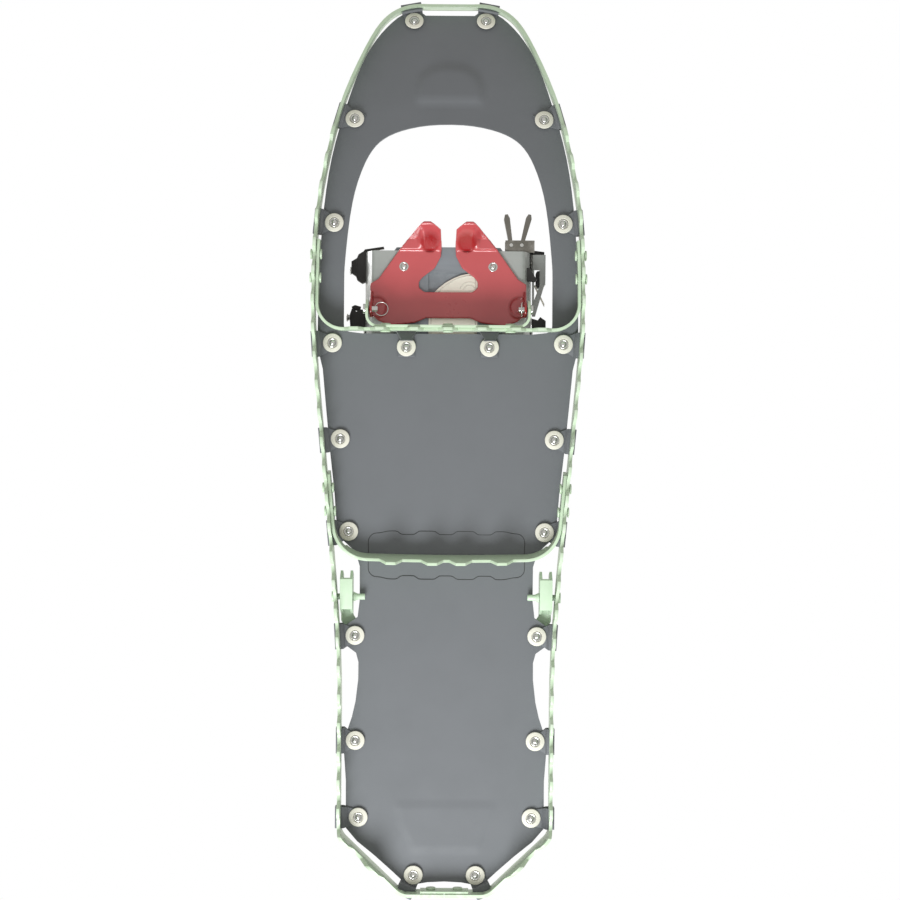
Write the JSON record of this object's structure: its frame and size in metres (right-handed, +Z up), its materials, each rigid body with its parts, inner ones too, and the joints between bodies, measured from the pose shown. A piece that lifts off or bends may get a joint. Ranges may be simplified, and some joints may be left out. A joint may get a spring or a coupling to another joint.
{
  "type": "snowshoe",
  "caption": "Left-foot trail snowshoe with a toothed aluminium rail frame, a strapped deck, a red pivoting crampon binding and a flip-up heel lift bar.",
  "frame": {"origin": "centre of the bounding box's bottom, on the surface that the teeth stand on", "axes": "+Y to the tip (walking direction), +X to the wearer's right, +Z up through the boot"},
  "size_m": [0.1956, 0.6473, 0.1124],
  "materials": {
    "frame_green": "satin powder coat",
    "bail_green": "satin powder coat",
    "deck_grey": "matt sheet",
    "strap_grey": "matt sheet",
    "washer": "smooth",
    "rivet_steel": "plain",
    "crampon_red": "gloss powder coat",
    "base_grey": "moulded",
    "harness_cream": "smooth elastomer",
    "wing_pearl": "pearl",
    "pad_black": "matt",
    "black_plastic": "moulded",
    "lever_metal": "dark plated"
  },
  "bodies": {
    "frame": {"frame_rail": "frame_green", "front_crossmember": "frame_green", "rear_crossmember": "frame_green", "toe_bracket": "frame_green", "tail_plate": "frame_green", "crossmember_rivets": "frame_green", "toe_bracket_rivets": "rivet_steel", "tail_rivets": "frame_green", "bail_pins": "bail_green", "deck": "deck_grey", "heel_pad": "deck_grey", "deck_straps_front": "strap_grey", "deck_straps_mid": "strap_grey", "deck_straps_rear": "strap_grey", "deck_straps_cross": "strap_grey", "deck_washers": "washer", "deck_rivets": "rivet_steel", "clevis_pin_right": "rivet_steel", "clevis_pin_left": "rivet_steel"},
    "bail": {"heel_bail": "bail_green"},
    "binding": {"crampon": "crampon_red", "crampon_rivets": "rivet_steel", "binding_base": "base_grey", "center_strap": "harness_cream", "boot_pad": "pad_black", "wing_right": "wing_pearl", "wing_left": "wing_pearl", "outer_arm": "wing_pearl", "wing_pad": "pad_black", "anchor_front": "black_plastic", "anchor_rear": "black_plastic", "toe_strap": "harness_cream", "instep_strap": "harness_cream", "harness_rivets": "rivet_steel", "lock_base": "lever_metal", "lock_pins": "rivet_steel", "heel_strap_rivets": "rivet_steel"},
    "lever_in": {"lever_inner": "lever_metal"},
    "lever_out": {"lever_outer": "lever_metal"},
    "heel_loop": {"heel_strap": "harness_cream", "heel_slider": "black_plastic", "heel_lever_pin": "rivet_steel"},
    "heel_catch": {"heel_lever": "lever_metal"},
    "ring_right": {"split_ring_right": "rivet_steel"},
    "ring_left": {"split_ring_left": "rivet_steel"}
  },
  "joints": [
    {"name": "binding_pivot", "type": "hinge", "parent": "frame", "child": "binding", "pos_m": [0, 0.0943, 0.015], "axis": [-1, 0, 0], "range_deg": [0, 75]},
    {"name": "heel_lift_flip", "type": "hinge", "parent": "frame", "child": "bail", "pos_m": [0, -0.1093, 0.02], "axis": [-1, 0, 0], "range_deg": [0, 100]},
    {"name": "inner_lever_swing", "type": "hinge", "parent": "binding", "child": "lever_in", "pos_m": [-0.045, 0.1426, 0.049], "axis": [0, 0, -1], "range_deg": [0, 40]},
    {"name": "outer_lever_swing", "type": "hinge", "parent": "binding", "child": "lever_out", "pos_m": [-0.0526, 0.1426, 0.049], "axis": [0, 0, 1], "range_deg": [0, 40]},
    {"name": "heel_strap_swing", "type": "hinge", "parent": "binding", "child": "heel_loop", "pos_m": [0, 0.078, 0.053], "axis": [-1, 0, 0], "range_deg": [0, 25]},
    {"name": "heel_lever_swing", "type": "hinge", "parent": "heel_loop", "child": "heel_catch", "pos_m": [-0.062, 0.0524, 0.053], "axis": [0, 0, -1], "range_deg": [0, 80]},
    {"name": "ring_right_swing", "type": "hinge", "parent": "frame", "child": "ring_right", "pos_m": [0.0517, 0.0943, 0.015], "axis": [0, 1, 0], "range_deg": [-80, 80]},
    {"name": "ring_left_swing", "type": "hinge", "parent": "frame", "child": "ring_left", "pos_m": [-0.0517, 0.0943, 0.015], "axis": [0, 1, 0], "range_deg": [-165, 5]}
  ]
}
